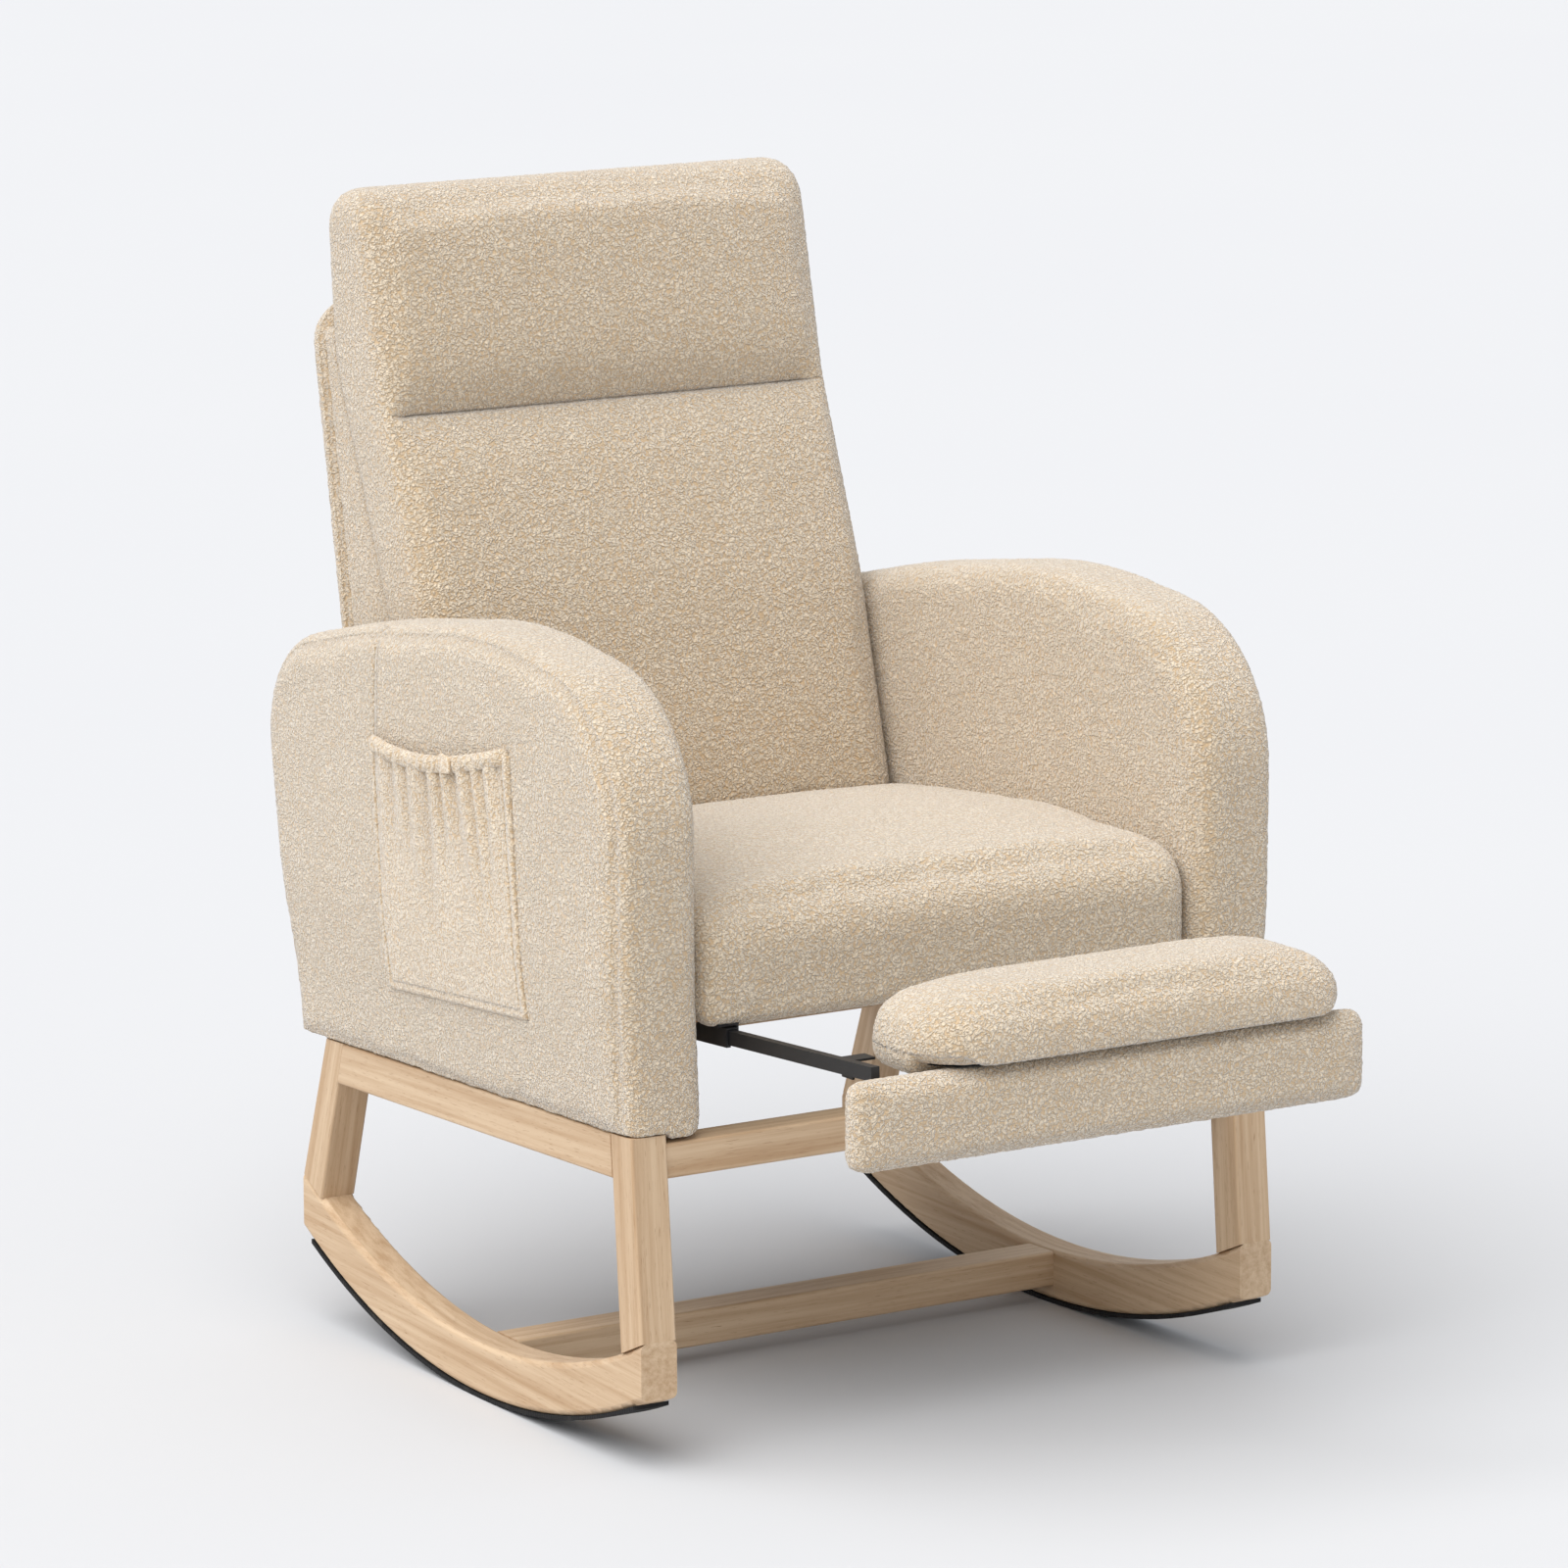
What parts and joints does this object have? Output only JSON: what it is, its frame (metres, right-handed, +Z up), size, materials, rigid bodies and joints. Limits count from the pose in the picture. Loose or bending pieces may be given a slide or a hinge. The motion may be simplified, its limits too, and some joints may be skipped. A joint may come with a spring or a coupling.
{
  "type": "recliner armchair",
  "caption": "Upholstered rocking recliner armchair with bowed wooden rockers, reclining back, padded arms, side pocket and a slide-out footrest.",
  "frame": {"origin": "on the floor, midway between the two rockers, on the line where both rockers touch the floor", "axes": "+Z up, +Y to the chair's rear so it faces -Y, +X to the sitter's left"},
  "size_m": [0.67, 0.9453, 0.9972],
  "materials": {
    "boucle": "matte",
    "pale_wood": "satin",
    "frame_wood": "matte",
    "plywood": "matte",
    "webbing": "matte",
    "dust_cloth": "matte",
    "black_steel": "satin",
    "zinc_steel": "satin",
    "rubber_strip": "matte"
  },
  "bodies": {
    "base": {"arm_bolts": "zinc_steel", "dust_cover": "dust_cloth", "front_cross_rail": "pale_wood", "left_arm_core": "plywood", "left_arm_padding": "boucle", "left_front_leg": "pale_wood", "left_hinge_fixed_plate": "black_steel", "left_rear_leg": "pale_wood", "left_rocker": "pale_wood", "left_rocker_strip": "rubber_strip", "left_slide_channel": "black_steel", "left_top_rail": "pale_wood", "pocket_hem": "boucle", "pocket_tab": "boucle", "rear_cross_rail": "pale_wood", "right_arm_core": "plywood", "right_arm_padding": "boucle", "right_front_leg": "pale_wood", "right_hinge_fixed_plate": "black_steel", "right_rear_leg": "pale_wood", "right_rocker": "pale_wood", "right_rocker_strip": "rubber_strip", "right_slide_channel": "black_steel", "right_top_rail": "pale_wood", "rocker_stretcher": "pale_wood", "seat_cushion": "boucle", "seat_front_rail": "frame_wood", "seat_left_rail": "frame_wood", "seat_rear_rail": "frame_wood", "seat_right_rail": "frame_wood", "seat_webbing": "webbing", "side_pocket": "boucle", "slide_brackets": "black_steel", "slide_screws": "zinc_steel"},
    "backrest": {"back_cushion": "boucle", "back_foot_rail": "frame_wood", "back_middle_rail": "frame_wood", "back_shell": "boucle", "back_top_rail": "frame_wood", "back_webbing": "webbing", "head_cushion": "boucle", "left_back_boxing": "boucle", "left_back_stile": "frame_wood", "left_hinge_moving_plate": "black_steel", "left_hinge_pin": "zinc_steel", "right_back_boxing": "boucle", "right_back_stile": "frame_wood", "right_hinge_moving_plate": "black_steel", "right_hinge_pin": "zinc_steel"},
    "footrest": {"footrest_board": "plywood", "footrest_panel": "boucle", "footrest_tie": "black_steel", "left_slide_rail": "black_steel", "pad_pins": "zinc_steel", "right_slide_rail": "black_steel"},
    "footrest_pad": {"left_pad_lug": "black_steel", "pad_board": "plywood", "pad_cushion": "boucle", "right_pad_lug": "black_steel"}
  },
  "joints": [
    {"name": "backrest_recline", "type": "hinge", "parent": "base", "child": "backrest", "pos_m": [0, 0.23, 0.405], "axis": [-1, 0, 0], "range_deg": [0, 32]},
    {"name": "footrest_slide", "type": "slide", "parent": "base", "child": "footrest", "axis": [0, -0.9986, 0.0523], "range_m": [-0.11, 0]},
    {"name": "footrest_pad_flip", "type": "hinge", "parent": "footrest", "child": "footrest_pad", "pos_m": [0, -0.427, 0.3595], "axis": [-1, 0, 0], "range_deg": [0, 180]}
  ]
}
